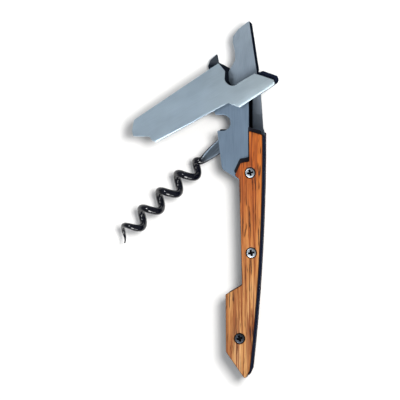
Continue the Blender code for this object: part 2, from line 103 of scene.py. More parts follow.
class Nodes:
    """Short calls to build one material's node tree."""

    def __init__(self, name):
        self.material = bpy.data.materials.new(name)
        self.material.use_nodes = True
        self.tree = self.material.node_tree
        self.shader = self.tree.nodes["Principled BSDF"]
        self.coords = self.tree.nodes.new("ShaderNodeTexCoord").outputs["Object"]

    def link(self, source, target):
        self.tree.links.new(source, target)

    def mapped(self, scale, turn=0.0):
        """Object coordinates turned about Z, then scaled, in millimetres."""
        turned = self.tree.nodes.new("ShaderNodeMapping")
        turned.inputs["Rotation"].default_value = (0, 0, turn)
        self.link(self.coords, turned.inputs["Vector"])
        mapping = self.tree.nodes.new("ShaderNodeMapping")
        mapping.inputs["Scale"].default_value = [value / MM for value in scale]
        self.link(turned.outputs["Vector"], mapping.inputs["Vector"])
        return mapping.outputs["Vector"]

    def noise(self, vector, scale=1.0, detail=3.0, roughness=0.55, distortion=0.0):
        noise = self.tree.nodes.new("ShaderNodeTexNoise")
        noise.inputs["Scale"].default_value = scale
        noise.inputs["Detail"].default_value = detail
        noise.inputs["Roughness"].default_value = roughness
        noise.inputs["Distortion"].default_value = distortion
        self.link(vector, noise.inputs["Vector"])
        return noise.outputs["Fac"]

    def ramp(self, value, stops):
        """A colour or grey ramp through (position, colour) stops."""
        ramp = self.tree.nodes.new("ShaderNodeValToRGB")
        elements = ramp.color_ramp.elements
        while len(elements) < len(stops):
            elements.new(0.5)
        for element, (position, colour) in zip(elements, stops):
            element.position = position
            colour = (colour,) * 3 if isinstance(colour, (int, float)) else colour
            element.color = (*colour, 1.0)
        self.link(value, ramp.inputs["Fac"])
        return ramp.outputs["Color"]

    def mix(self, kind, factor, first, second):
        mix = self.tree.nodes.new("ShaderNodeMix")
        mix.data_type = "RGBA"
        mix.blend_type = kind
        sockets = (mix.inputs[MIX_FACTOR], mix.inputs[MIX_FIRST], mix.inputs[MIX_SECOND])
        for socket, value in zip(sockets, (factor, first, second)):
            if isinstance(value, bpy.types.NodeSocket):
                self.link(value, socket)
            elif isinstance(value, tuple):
                socket.default_value = (*value, 1.0)
            else:
                socket.default_value = value
        return mix.outputs[MIX_RESULT]

    def height(self, axis, low, high):
        """0 at low and 1 at high along an axis, in millimetres."""
        split = self.tree.nodes.new("ShaderNodeSeparateXYZ")
        self.link(self.coords, split.inputs[0])
        span = self.tree.nodes.new("ShaderNodeMapRange")
        span.inputs["From Min"].default_value = low * MM
        span.inputs["From Max"].default_value = high * MM
        self.link(split.outputs[axis], span.inputs["Value"])
        return span.outputs["Result"]

    def facing(self):
        """How far a surface faces up (+1) or down (-1) in the object's own frame."""
        coords = self.tree.nodes.new("ShaderNodeTexCoord")
        split = self.tree.nodes.new("ShaderNodeSeparateXYZ")
        self.link(coords.outputs["Normal"], split.inputs[0])
        return split.outputs["Z"]

    def side(self, face):
        """1 on the faces that look up (face 1) or down (face -1), and 0 elsewhere."""
        turned = self.tree.nodes.new("ShaderNodeMath")
        turned.operation = "MULTIPLY"
        turned.inputs[1].default_value = face
        self.link(self.facing(), turned.inputs[0])
        return self.ramp(turned.outputs[0], [(0.45, 0.0), (0.55, 1.0)])

    def walls(self, low=WALL[0], high=WALL[1]):
        """1 on side walls, 0 on flat faces, blending over rounded edges."""
        size = self.tree.nodes.new("ShaderNodeMath")
        size.operation = "ABSOLUTE"
        self.link(self.facing(), size.inputs[0])
        return self.ramp(size.outputs[0], [(low, 1.0), (high, 0.0)])

    def inverse(self, value):
        return self.ramp(value, [(0.0, 1.0), (1.0, 0.0)])

    def dull_walls(self, gloss, metallic, low=WALL[0], high=WALL[1]):
        """Takes metal and gloss off the side walls, so their painted shade stays black and matt."""
        flat = self.inverse(self.walls(low, high))
        shares = {"Metallic": metallic, "Specular IOR Level": gloss}
        for name, share in shares.items():
            self.link(self.mix("MULTIPLY", 1.0, flat, (share,) * 3), self.shader.inputs[name])

    def bump(self, height, strength, distance, after=None):
        bump = self.tree.nodes.new("ShaderNodeBump")
        bump.inputs["Strength"].default_value = strength
        bump.inputs["Distance"].default_value = distance * MM
        self.link(height, bump.inputs["Height"])
        if after is not None:
            self.link(after, bump.inputs["Normal"])
        return bump.outputs["Normal"]

    def finish(self, colour=None, roughness=None, normal=None, **values):
        """Fills the shader's sockets; further values are named with _ for a space."""
        for name, value in (("Base Color", colour), ("Roughness", roughness), ("Normal", normal)):
            if value is None:
                continue
            if isinstance(value, bpy.types.NodeSocket):
                self.link(value, self.shader.inputs[name])
            elif isinstance(value, tuple):
                self.shader.inputs[name].default_value = (*value, 1.0)
            else:
                self.shader.inputs[name].default_value = value
        for name, value in values.items():
            self.shader.inputs[name.replace("_", " ")].default_value = value
        return self.material


def wood_material():
    """Oiled open-pored wood, orange at the head and paler at the butt, with its grain along Y."""
    nodes = Nodes("oiled_wood")
    broad = nodes.noise(nodes.mapped((0.34, 0.016, 0.3)), 1.0, 4, 0.6, 0.7)
    head = nodes.ramp(broad, [(0.30, (0.24, 0.040, 0.004)), (0.46, (0.46, 0.105, 0.010)),
                              (0.60, (0.58, 0.17, 0.022)), (0.74, (0.68, 0.29, 0.070))])
    butt = nodes.ramp(broad, [(0.30, (0.30, 0.095, 0.018)), (0.46, (0.50, 0.21, 0.058)),
                              (0.60, (0.60, 0.30, 0.105)), (0.74, (0.66, 0.38, 0.17))])
    colour = nodes.mix("MIX", nodes.height("Y", 22, -35), head, butt)
    streaks = nodes.noise(nodes.mapped((1.5, 0.030, 1.2)), 1.0, 3, 0.6, 0.5)
    dark = nodes.ramp(streaks, [(0.48, 0.0), (0.58, 0.76), (0.74, 0.92)])
    colour = nodes.mix("MIX", dark, colour, (0.20, 0.035, 0.003))
    fibres = nodes.noise(nodes.mapped((5.0, 0.10, 4.0)), 1.0, 3, 0.6)
    tone = nodes.ramp(fibres, [(0.30, 0.62), (0.50, 0.95), (0.68, 1.12)])
    colour = nodes.mix("MULTIPLY", 1.0, colour, tone)
    pore_field = nodes.noise(nodes.mapped((2.3, 0.13, 2.0)), 1.0, 2.0, 0.45, 0.25)
    pores = nodes.ramp(pore_field, [(0.60, 0.0), (0.655, 0.92)])
    colour = nodes.mix("MIX", pores, colour, (0.045, 0.012, 0.005))
    # Painted shade: the side walls and rounded edges are coloured near black for their shade.
    colour = nodes.mix("MIX", nodes.walls(*WOOD_RIM), colour, (0.030, 0.010, 0.006))
    roughness = nodes.ramp(fibres, [(0.3, 0.55), (0.7, 0.38)])
    normal = nodes.bump(fibres, 0.25, 0.10)
    normal = nodes.bump(nodes.ramp(pore_field, [(0.59, 1.0), (0.66, 0.0)]), 0.7, 0.18, normal)
    nodes.dull_walls(0.25, 0.0, *WOOD_GLOSS_RIM)
    return nodes.finish(colour, roughness, normal)


# Painted shade: the side walls of every steel plate are coloured near black for their shade.
WALL_SHADE_DARK = (0.004, 0.006, 0.014)
WALL_SHADE_LIGHT = (0.014, 0.020, 0.045)


def steel_material(name, dark, light, roughness, turn, shade=None, under=None, lighter_shade=None):
    """Brushed steel with painted shade on its side walls, its strokes along Y before the turn.

    shade is (axis, low, high, tint), painted light and shade along the piece; under is (face,
    colour), painted shade on the inner face that looks up (face 1) or down (face -1); the last is
    (axis, low, high, colour), where that painted shade turns lighter along the axis.
    """
    nodes = Nodes(name)
    strokes = nodes.noise(nodes.mapped((7.0, 0.10, 7.0), turn), 1.0, 3, 0.6)
    clouds = nodes.noise(nodes.mapped((0.10, 0.06, 0.1), turn), 1.0, 3, 0.5)
    colour = nodes.ramp(strokes, [(0.25, dark), (0.75, light)])
    colour = nodes.mix("MULTIPLY", 1.0, colour, nodes.ramp(clouds, [(0.3, 0.86), (0.7, 1.06)]))
    # Painted light and shade: the colour times the tint, more so towards high along the axis.
    if shade:
        axis, low, high, tint = shade
        colour = nodes.mix("MULTIPLY", nodes.height(axis, low, high), colour, tint)
    # Painted shade on the inner face, which turns lighter along the axis when the last argument is
    # given.
    if under:
        face, tint = under
        if lighter_shade:
            tint = nodes.mix("MIX", nodes.height(*lighter_shade[:3]), tint, lighter_shade[3])
        colour = nodes.mix("MIX", nodes.side(face), colour, tint)
    # Painted shade: the side walls take a near-black colour in place of the steel.
    edge = nodes.ramp(strokes, [(0.30, WALL_SHADE_DARK), (0.72, WALL_SHADE_LIGHT)])
    colour = nodes.mix("MIX", nodes.walls(), colour, edge)
    scratches = nodes.noise(nodes.mapped((3.0, 0.6, 3.0), turn + 0.5), 1.0, 5, 0.7)
    rough = nodes.ramp(strokes, [(0.2, roughness - 0.05), (0.8, roughness + 0.07)])
    normal = nodes.bump(strokes, 0.10, 0.02)
    normal = nodes.bump(nodes.ramp(scratches, [(0.60, 0.0), (0.72, 1.0)]), 0.05, 0.02, normal)
    nodes.dull_walls(0.5, 1.0)
    return nodes.finish(colour, rough, normal)


def screw_material(name, dark, light, ring):
    """Bright steel with painted shade on its turned edge."""
    nodes = Nodes(name)
    wear = nodes.noise(nodes.mapped((1.6, 1.6, 1.6)), 1.0, 4, 0.6)
    colour = nodes.ramp(wear, [(0.3, dark), (0.7, light)])
    # Painted shade: the steep turned edge takes the dark ring colour.
    colour = nodes.mix("MIX", nodes.walls(*SCREW_RIM), colour, ring)
    strokes = nodes.noise(nodes.mapped((8.0, 0.6, 8.0), 0.6), 1.0, 3, 0.6)
    roughness = nodes.ramp(wear, [(0.3, 0.48), (0.7, 0.38)])
    return nodes.finish(colour, roughness, nodes.bump(strokes, 0.10, 0.02), Metallic=1.0)


def recess_material():
    """The dirt and shadow in a screw's cross."""
    nodes = Nodes("screw_recess")
    dirt_and_shade = nodes.noise(nodes.mapped((3.0, 3.0, 3.0)), 1.0, 3, 0.6)
    colour = nodes.ramp(dirt_and_shade, [(0.3, (0.002, 0.002, 0.003)), (0.7, (0.008, 0.008, 0.010))])
    return nodes.finish(colour, 0.9, Specular_IOR_Level=0.0)


def wire_material():
    """A glossy black coating on the coil, worn to grey steel over the flat tang."""
    nodes = Nodes("black_coating")
    wear = nodes.noise(nodes.mapped((0.7, 0.7, 0.7)), 1.0, 4, 0.6)
    coil = nodes.ramp(wear, [(0.35, (0.002, 0.0025, 0.005)), (0.75, (0.007, 0.008, 0.016))])
    strokes = nodes.noise(nodes.mapped((5.0, 0.25, 5.0), TANG_TURN), 1.0, 3, 0.6)
    tang = nodes.ramp(strokes, [(0.3, (0.075, 0.10, 0.13)), (0.7, (0.14, 0.175, 0.215))])
    distance = nodes.tree.nodes.new("ShaderNodeVectorMath")
    distance.operation = "DISTANCE"
    nodes.link(nodes.coords, distance.inputs[0])
    distance.inputs[1].default_value = Vector((*WORM_PIVOT, MIDDLE_Z)) * MM
    span = nodes.tree.nodes.new("ShaderNodeMapRange")
    span.inputs["From Min"].default_value = COATING_START * MM
    span.inputs["From Max"].default_value = BARE_TANG_END * MM
    nodes.link(distance.outputs["Value"], span.inputs["Value"])
    near = nodes.ramp(span.outputs["Result"], [(0.0, 0.0), (1.0, 1.0)])
    flat = nodes.mix("MULTIPLY", 1.0, near, nodes.inverse(nodes.walls(*WIRE_SIDE)))
    colour = nodes.mix("MIX", flat, coil, tang)
    gloss = nodes.ramp(wear, [(0.3, 0.06), (0.7, 0.13)])
    roughness = nodes.mix("MIX", flat, gloss, (0.38, 0.38, 0.38))
    nodes.link(flat, nodes.shader.inputs["Metallic"])
    normal = nodes.bump(nodes.noise(nodes.mapped((2, 2, 2)), 1.0, 2, 0.5), 0.05, 0.05)
    return nodes.finish(colour, roughness, normal, Specular_IOR_Level=0.5, IOR=1.5)


def shadow_fibre_material():
    """Black vulcanised fibre, for the sheet that stands in as the scales' painted shadow."""
    nodes = Nodes("black_shadow_fibre")
    speckle = nodes.noise(nodes.mapped((4, 4, 4)), 1.0, 4, 0.7)
    colour = nodes.ramp(speckle, [(0.3, (0.003, 0.003, 0.006)), (0.8, (0.012, 0.012, 0.018))])
    return nodes.finish(colour, 0.75, nodes.bump(speckle, 0.2, 0.03), Specular_IOR_Level=0.2)


def floor_material():
    """A matt white sweep."""
    nodes = Nodes("white_sweep")
    mottle = nodes.noise(nodes.mapped((0.01, 0.01, 0.01)), 1.0, 2, 0.5)
    colour = nodes.ramp(mottle, [(0.3, 0.93), (0.7, 0.95)])
    return nodes.finish(colour, 0.9, None, Specular_IOR_Level=0.0)


# The worm's hinge, the way its tang points, and how far from the hinge its coating starts.
WORM_PIVOT = (-4.2, 37.5)
MIDDLE_Z = CAD_BOX[1][2] / MM / 2
WORM_ANGLE = math.radians(223.2)
TANG_TURN = math.radians(90) - WORM_ANGLE
BARE_TANG_END = 18.5
COATING_START = 21.5

# The turn from Y of the brush strokes along the lever's arm and along the blade.
ARM_TURN = math.radians(60)
BLADE_TURN = 0.17

# Where the back cheek's painted shade lightens at the lever's tooth, and where the back liner's
# inner face turns from painted shade to painted light on the strip beside the front liner's head.
TOOTH_Y = (63.6, 65.2)
STRIP_X = (-0.15, 0.4)

# The dark and the light stroke of each steel.
PLATE = ((0.155, 0.218, 0.300), (0.220, 0.300, 0.395))
BLADE = ((0.29, 0.37, 0.46), (0.41, 0.50, 0.60))
CHEEK = ((0.50, 0.61, 0.68), (0.61, 0.72, 0.78))
# Near black for painted shade, on the dark_steel pieces and on the blade's spine.
SHADE_BLACK = ((0.008, 0.012, 0.028), (0.022, 0.032, 0.062))
# Each screw steel is dark, light, then the painted shade on its turned edge.
BRIGHT_SCREW = ((0.27, 0.31, 0.35), (0.42, 0.46, 0.50), (0.02, 0.023, 0.03))
# A darker steel for the third screw on each side.
DARK_SCREW = ((0.020, 0.024, 0.032), (0.07, 0.08, 0.10), (0.004, 0.005, 0.008))

# Painted shade on the inner faces between the plates, lighter on the tooth, and painted light on
# the strip of the back liner that shows beside the front liner's head.
CHEEK_INSIDE_SHADE = (0.022, 0.030, 0.048)
TOOTH_SHADE = (0.13, 0.155, 0.19)
LINER_INSIDE_SHADE = (0.010, 0.013, 0.022)
STRIP_PAINTED_LIGHT = (0.46, 0.54, 0.64)

MATERIALS = {
    "wood": wood_material(),
    # Painted shade: the cheek darker towards its left end (-X), and on its inner face.
    "cheek_steel": steel_material("satin_cheek", *CHEEK, 0.36, ARM_TURN,
                                  shade=("X", 8, -22, (0.68, 0.72, 0.78)),
                                  under=(-1, CHEEK_INSIDE_SHADE)),
    "plate_steel": steel_material("brushed_plate", *PLATE, 0.42, 0.0),
    # Painted shade: near-black steel.
    "dark_steel": steel_material("shade_black_steel", *SHADE_BLACK, 0.4, 0.0),
    "screw_steel": screw_material("bright_steel", *BRIGHT_SCREW),
    "black_wire": wire_material(),
}
# Painted light: the blade brighter towards its tip.
BLADE_STEEL = steel_material("ground_blade", *BLADE, 0.38, BLADE_TURN,
                             shade=("Y", 60, 84, (1.12, 1.10, 1.06)))
# Painted shade on the back cheek's inner face, lighter from the tooth up.
BACK_CHEEK_STEEL = steel_material("back_satin_cheek", *CHEEK, 0.36, ARM_TURN,
                                  under=(1, CHEEK_INSIDE_SHADE), lighter_shade=("Y", *TOOTH_Y, TOOTH_SHADE))
# Painted shade on the back liner's inner face, and painted light on the strip beside the front
# liner.
BACK_LINER_STEEL = steel_material("back_plate", *PLATE, 0.42, 0.0,
                                  under=(1, LINER_INSIDE_SHADE), lighter_shade=("X", *STRIP_X, STRIP_PAINTED_LIGHT))
DARK_SCREW_STEEL = screw_material("dark_screw_steel", *DARK_SCREW)
RECESS = recess_material()
SHADOW_FIBRE = shadow_fibre_material()


# Shapes. Welding distances in millimetres, and CUT, the gap in metres that counts as nothing.
WELD = 0.001
SHEET_WELD = 0.002
SHORTEST_STEP = 0.003
CUT = 1e-7

# How far sharp corners are cut back, and the least angle between faces that stays a crease.
CORNER_REACH = 0.12
SCALE_REACH = 0.2
BLADE_REACH = 0.15
SHADOW_FIBRE_REACH = 0.1
SHEET_CREASE = 30
CHEEK_CREASE = 28
BLADE_CREASE = 1.5
ROUND_CREASE = 40
ROUND_EDGE = 0.08


def section_loops(node):
    """The closed loops where a level plane halfway up cuts a CAD node, largest first, in metres."""
    low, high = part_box(node)
    shape = bmesh.new()
    shape.from_mesh(NODES[node].data)
    bmesh.ops.remove_doubles(shape, verts=shape.verts, dist=WELD * MM)
    level = low[2] + (high[2] - low[2]) * 0.5
    cut = slice_shape(shape, (0, 0, level), (0, 0, 1), 1e-8)
    edges = {edge for edge in cut["geom_cut"] if isinstance(edge, bmesh.types.BMEdge)}
    loops = []
    while edges:
        edge = edges.pop()
        start, vert = edge.verts
        loop = [start.co.xy.copy(), vert.co.xy.copy()]
        while vert is not start:
            edge = next(other for other in vert.link_edges if other in edges)
            edges.discard(edge)
            vert = edge.other_vert(vert)
            loop.append(vert.co.xy.copy())
        loops.append(tidy_loop(settled_loop(loop[:-1])))
    shape.free()
    return sorted(loops, key=lambda loop: (-area(loop), *loop[0]))


def slice_shape(shape, place, normal, gap=CUT):
    """Adds the edges where a plane crosses a shape."""
    everything = shape.verts[:] + shape.edges[:] + shape.faces[:]
    return bmesh.ops.bisect_plane(shape, geom=everything, dist=gap, plane_co=place, plane_no=normal)


def area(loop):
    """A loop's area, which is negative if it runs clockwise."""
    return sum(a.x * b.y - b.x * a.y for a, b in zip(loop, loop[1:] + loop[:1])) / 2


def settled_loop(loop):
    """The loop anticlockwise from its leftmost point, whichever edge it was found from."""
    if area(loop) < 0:
        loop = loop[::-1]
    start = min(range(len(loop)), key=lambda index: tuple(loop[index]))
    return loop[start:] + loop[:start]


def tidy_loop(loop):
    """Drops points that lie along straight stretches."""
    kept = []
    for index, point in enumerate(loop):
        before = loop[index - 1]
        after = loop[(index + 1) % len(loop)]
        if (point - before).length < SHORTEST_STEP * MM:
            continue
        if abs((point - before).angle_signed(after - point, 0)) > math.radians(0.05):
            kept.append(point)
    return kept


def ease(loop, reach):
    """Cuts each corner of a loop a little, so that the CAD's short arcs read as smooth curves."""
    eased = []
    for index, point in enumerate(loop):
        for other in (loop[index - 1], loop[(index + 1) % len(loop)]):
            away = other - point
            eased.append(point + away.normalized() * min(reach * MM, 0.25 * away.length))
    return eased


def add_piece(name, mesh, node, material, crease):
    """Stands a finished mesh in for a CAD node, on its body and with its slot's finish."""
    piece = bpy.data.objects.new(name, mesh)
    bpy.context.scene.collection.objects.link(piece)
    mesh.materials.clear()
    mesh.materials.append(material or MATERIALS[NODE_SLOT[node]])
    mesh.shade_smooth()
    mesh.set_sharp_from_angle(angle=math.radians(crease))
    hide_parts(node)
    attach(piece, NODE_BODY[node])
    return piece


def weighted(piece):
    """Keeps the flat faces' shading flat beside their rounded edges."""
    modifier = piece.modifiers.new("Even shading", "WEIGHTED_NORMAL")
    modifier.keep_sharp = True
    modifier.weight = 100


def sheet_mesh(name, loops, low, high, edge):
    """A plate between two levels with rounded edges, its other loops being holes."""
    curve = bpy.data.curves.new(name, "CURVE")
    curve.dimensions = "2D"
    curve.fill_mode = "BOTH"
    curve.bevel_depth = edge * MM
    curve.bevel_resolution = 3
    curve.extrude = (high - low) / 2 - edge * MM
    curve.offset = -edge * MM
    for loop in loops:
        spline = curve.splines.new("POLY")
        spline.points.add(len(loop) - 1)
        for point, place in zip(spline.points, loop):
            point.co = (place.x, place.y, 0, 1)
        spline.use_cyclic_u = True
    guide = bpy.data.objects.new(name, curve)
    bpy.context.scene.collection.objects.link(guide)
    bpy.context.view_layer.update()
    depsgraph = bpy.context.evaluated_depsgraph_get()
    mesh = bpy.data.meshes.new_from_object(guide.evaluated_get(depsgraph))
    bpy.data.objects.remove(guide, do_unlink=True)
    shape = bmesh.new()
    shape.from_mesh(mesh)
    bmesh.ops.remove_doubles(shape, verts=shape.verts, dist=SHEET_WELD * MM)
    bmesh.ops.translate(shape, verts=shape.verts, vec=(0, 0, (low + high) / 2))
    bmesh.ops.recalc_face_normals(shape, faces=shape.faces)
    shape.to_mesh(mesh)
    shape.free()
    return mesh


def middle_of(loop):
    return sum(loop, Vector((0, 0))) / len(loop)


def sheet_piece(node, edge, reach=CORNER_REACH, material=None, peened=None):
    """The plate that stands for a CAD node, with its holes, except where a pin is peened flush."""
    low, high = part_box(node)
    outline, *holes = section_loops(node)
    if peened:
        pin = Vector(peened) * MM
        holes = [loop for loop in holes if (middle_of(loop) - pin).length > MM]
    loops = [ease(loop, reach) for loop in [outline] + holes]
    mesh = sheet_mesh(node, loops, low[2], high[2], edge)
    weighted(add_piece(node + "_fine", mesh, node, material, SHEET_CREASE))


def prism(loop, low, high):
    """A bmesh prism of one outline."""
    shape = bmesh.new()
    bottom = shape.faces.new([shape.verts.new((point.x, point.y, low)) for point in loop])
    raised = bmesh.ops.extrude_face_region(shape, geom=[bottom])["geom"]
    verts = [item for item in raised if isinstance(item, bmesh.types.BMVert)]
    bmesh.ops.translate(shape, verts=verts, vec=(0, 0, high - low))
    bmesh.ops.recalc_face_normals(shape, faces=shape.faces)
    return shape


def flat_rim(shape, level):
    """The edges at this level that a side wall meets."""
    return [edge for edge in shape.edges if all(abs(vert.co.z - level) < CUT for vert in edge.verts)
            and any(abs(face.normal.z) < 0.5 for face in edge.link_faces)]


def soften_edges(shape, edges, width):
    bmesh.ops.bevel(shape, geom=edges, offset=width * MM, offset_type="OFFSET", segments=2,
                    profile=0.5, affect="EDGES", clamp_overlap=True)


def to_mesh(shape, name):
    bmesh.ops.recalc_face_normals(shape, faces=shape.faces)
    mesh = bpy.data.meshes.new(name)
    shape.to_mesh(mesh)
    shape.free()
    return mesh


# Ground bands run from a foot to a head with the plate's edge on their right. A band starts a
# little before its foot, and GROUND_DEPTH keeps it to the vertices near one face.
GROUND_LEAD = 1.5
GROUND_DEPTH = 0.7


def band_frame(foot, head):
    """The way along a band, the way out of it, and its length."""
    run = Vector(head) - Vector(foot)
    length = run.length
    run.normalize()
    return run, Vector((run.y, -run.x)), length


def band_reach(spot, foot, head, width):
    """How far out a spot lies from a band's inner side, in metres."""
    outward = band_frame(foot, head)[1]
    return width * MM + (spot.xy - Vector(foot) * MM).dot(outward)


def grind_band(shape, foot, head, width, drop, level):
    """Grinds a band along an edge down from this level, deepest at the edge."""
    run, outward, length = band_frame(foot, head)
    inner = Vector(foot) - outward * width
    slice_shape(shape, inner.to_3d() * MM, outward.to_3d())
    slice_shape(shape, Vector(head).to_3d() * MM, run.to_3d())
    for vert in shape.verts:
        reach = band_reach(vert.co, foot, head, width)
        along = (vert.co.xy / MM - Vector(foot)).dot(run)
        within = reach > 1e-8 and -GROUND_LEAD < along < length + 0.01
        if within and abs(vert.co.z - level) < GROUND_DEPTH * MM:
            depth = min(reach / (width * MM), 1.0) * drop * MM
            vert.co.z -= math.copysign(depth, level - MIDDLE_Z * MM)


# The chamfers along the lever's lower edges: below the arm, and below the heel.
LOWER_EDGES = (((-39.0, 32.4), (-9.9, 48.13)), ((-4.2, 46.8), (10.5, 56.34)))
CHAMFER_WIDTH = 0.85
CHAMFER_DROP = 0.45
CHEEK_ROUNDING = 0.14


def cheek_piece(node, outer_up, material=None):
    """A cheek with soft edges all round and a ground chamfer along the lever's lower edges."""
    low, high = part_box(node)
    shape = prism(ease(section_loops(node)[0], CORNER_REACH), low[2], high[2])
    outer, inner = (high[2], low[2]) if outer_up else (low[2], high[2])
    for foot, head in LOWER_EDGES:
        grind_band(shape, foot, head, CHAMFER_WIDTH, CHAMFER_DROP, outer)
    soften_edges(shape, flat_rim(shape, outer) + flat_rim(shape, inner), CHEEK_ROUNDING)
    name = node + "_fine"
    weighted(add_piece(name, to_mesh(shape, name), node, material, CHEEK_CREASE))


# The blade's tip is ground thinner beyond a slanted line.
GRIND_POINT = (-5.8, 71.6)
GRIND_ANGLE = math.radians(24)
GRIND_SLOPE = 0.05
GRIND_LIMIT = 0.42

# Its straight spine has a chamfer, coloured near black as painted shade along the blade's edge.
SPINE_FOOT = (3.55, 62.1)
SPINE_HEAD = (0.61, 82.36)
SPINE_WIDTH = 0.95
SPINE_DROP = 0.5
BLADE_ROUNDING = 0.13


def blade_piece(node="foil_blade"):
    """The blade with its ground tip, painted shade along its spine and soft edges."""
    low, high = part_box(node)
    thickness = high[2] - low[2]
    shape = prism(ease(section_loops(node)[0], BLADE_REACH), low[2], high[2])
    point = Vector((*GRIND_POINT, 0)) * MM
    beyond = Vector((-math.sin(GRIND_ANGLE), math.cos(GRIND_ANGLE), 0))
    slice_shape(shape, point, beyond)
    for vert in shape.verts:
        reach = max(0.0, (vert.co - point).dot(beyond))
        drop = min(GRIND_SLOPE * reach, GRIND_LIMIT * thickness)
        vert.co.z += -drop if vert.co.z > (low[2] + high[2]) / 2 else drop
    grind_band(shape, SPINE_FOOT, SPINE_HEAD, SPINE_WIDTH, SPINE_DROP, high[2])
    rim = [edge for edge in shape.edges
           if edge.is_manifold and edge.calc_face_angle() > math.radians(60)
           and abs(edge.verts[0].co.z - edge.verts[1].co.z) < 0.3 * thickness]
    soften_edges(shape, rim, BLADE_ROUNDING)
    name = node + "_fine"
    piece = add_piece(name, to_mesh(shape, name), node, BLADE_STEEL, BLADE_CREASE)
    # Painted shade: the faces of the spine chamfer take the near-black steel.
    piece.data.materials.append(MATERIALS["dark_steel"])
    for face in piece.data.polygons:
        if band_reach(face.center, SPINE_FOOT, SPINE_HEAD, SPINE_WIDTH) > 0:
            face.material_index = 1
    weighted(piece)


# The worm: an eye and flat tang, then round wire in a right-handed coil, as in the CAD. Distances
# run along the coil's axis from the hinge.
WIRE_RADIUS = 1.55
COIL_RADIUS = 3.2
COIL_NARROWING = 0.4
COIL_PITCH = 10.47
COIL_OFFSET = 1.7
COIL_START = 22.2
RAMP_START = 20.8
RAMP_LENGTH = 4.2
WORM_END = 68.7
TIP_TAPER = 9.5
TIP_SHARE = 0.2
TANG_HALF_THICKNESS = 1.2
TANG_EYE_RADIUS = 2.75
TANG_NARROWING = 1.15

# A section is round at roundness 1, and close to a rectangle at 0.3. The eye's arc starts at
# EYE_START degrees, and the tang stops just short of the coil's first section.
FLAT = 0.3
ROUND = 1.0
EYE_SECTIONS = 12
EYE_START = 3
EYE_STEP = 7.6
TANG_SECTIONS = 36
TANG_SHARE = 0.97
COIL_LEAD = 0.3
COIL_SECTIONS = 300
WORM_SIDES = 28
WORM_CREASE = 50


def coil_point(distance):
    """The wire's centre at this distance along the coil's axis from the pivot."""
    along = Vector((math.cos(WORM_ANGLE), math.sin(WORM_ANGLE), 0))
    across = Vector((-along.y, along.x, 0))
    ramp = min(1.0, max(0.0, (distance - RAMP_START) / RAMP_LENGTH))
    narrowed = COIL_RADIUS - COIL_NARROWING * (distance - COIL_START) / (WORM_END - COIL_START)
    radius = narrowed * ramp * ramp * (3 - 2 * ramp)
    turn = 2 * math.pi * (distance - COIL_START) / COIL_PITCH
    side = -COIL_OFFSET - radius * math.cos(turn)
    rise = MIDDLE_Z - radius * math.sin(turn)
    return Vector((*WORM_PIVOT, rise)) + along * distance + across * side


def worm_sections():
    """(centre, half width, half thickness, roundness) of each section from the eye to the point."""
    pivot = Vector((*WORM_PIVOT, MIDDLE_Z))
    tang_end = coil_point(RAMP_START)
    reach = (tang_end - pivot).length
    along = (tang_end - pivot) / reach
    sections = []
    for step in range(EYE_SECTIONS):
        angle = math.radians(EYE_START + EYE_STEP * step)
        centre = pivot - along * TANG_EYE_RADIUS * math.cos(angle)
        sections.append((centre, TANG_EYE_RADIUS * math.sin(angle), TANG_HALF_THICKNESS, FLAT))
    for step in range(1, TANG_SECTIONS):
        part = TANG_SHARE * step / TANG_SECTIONS
        width = TANG_EYE_RADIUS - TANG_NARROWING * part ** 4
        thickness = TANG_HALF_THICKNESS + (WIRE_RADIUS - TANG_HALF_THICKNESS) * part ** 6
        centre = pivot + along * (part * reach)
        sections.append((centre, width, thickness, FLAT + 0.6 * part ** 5))
    start = RAMP_START + COIL_LEAD
    for step in range(1, COIL_SECTIONS + 1):
        distance = start + (WORM_END - RAMP_START - COIL_LEAD) * step / COIL_SECTIONS
        left = max(0.0, WORM_END - distance)
        radius = WIRE_RADIUS * min(1.0, max(TIP_SHARE, (left / TIP_TAPER) ** 0.6))
        sections.append((coil_point(distance), radius, radius, ROUND))
    return sections


def section_ring(shape, section, heading):
    """The ring of vertices of one worm section, square to its heading."""
    centre, width, thickness, roundness = section
    across = Vector((0, 0, 1)).cross(heading).normalized()
    upright = heading.cross(across)
    ring = []
    for side in range(WORM_SIDES):
        angle = 2 * math.pi * (side + 0.5) / WORM_SIDES
        u = math.copysign(abs(math.cos(angle)) ** roundness, math.cos(angle))
        v = math.copysign(abs(math.sin(angle)) ** roundness, math.sin(angle))
        place = centre + across * (u * width) + upright * (v * thickness)
        ring.append(shape.verts.new(place * MM))
    return ring


def worm_piece(node="worm"):
    """The whole worm as one sweep."""
    sections = worm_sections()
    shape = bmesh.new()
    rings = []
    for index, section in enumerate(sections):
        before = sections[max(index - 1, 0)][0]
        after = sections[min(index + 1, len(sections) - 1)][0]
        rings.append(section_ring(shape, section, (after - before).normalized()))
    for first, second in zip(rings, rings[1:]):
        for side in range(WORM_SIDES):
            following = (side + 1) % WORM_SIDES
            shape.faces.new((first[side], first[following], second[following], second[side]))
    shape.faces.new(rings[0][::-1])
    shape.faces.new(rings[-1])
    name = node + "_fine"
    add_piece(name, to_mesh(shape, name), node, None, WORM_CREASE)


def round_copy(node, material=None):
    """A round CAD node with welded, softened edges and smooth shading."""
    shape = bmesh.new()
    shape.from_mesh(NODES[node].data)
    bmesh.ops.remove_doubles(shape, verts=shape.verts, dist=WELD * MM)
    bmesh.ops.dissolve_limit(shape, angle_limit=math.radians(1), verts=shape.verts,
                             edges=shape.edges)
    name = node + "_fine"
    piece = add_piece(name, to_mesh(shape, name), node, material, ROUND_CREASE)
    modifier = piece.modifiers.new("Soften", "BEVEL")
    modifier.width = ROUND_EDGE * MM
    modifier.segments = 2
    modifier.limit_method = "ANGLE"
    modifier.angle_limit = math.radians(ROUND_CREASE)
    weighted(piece)


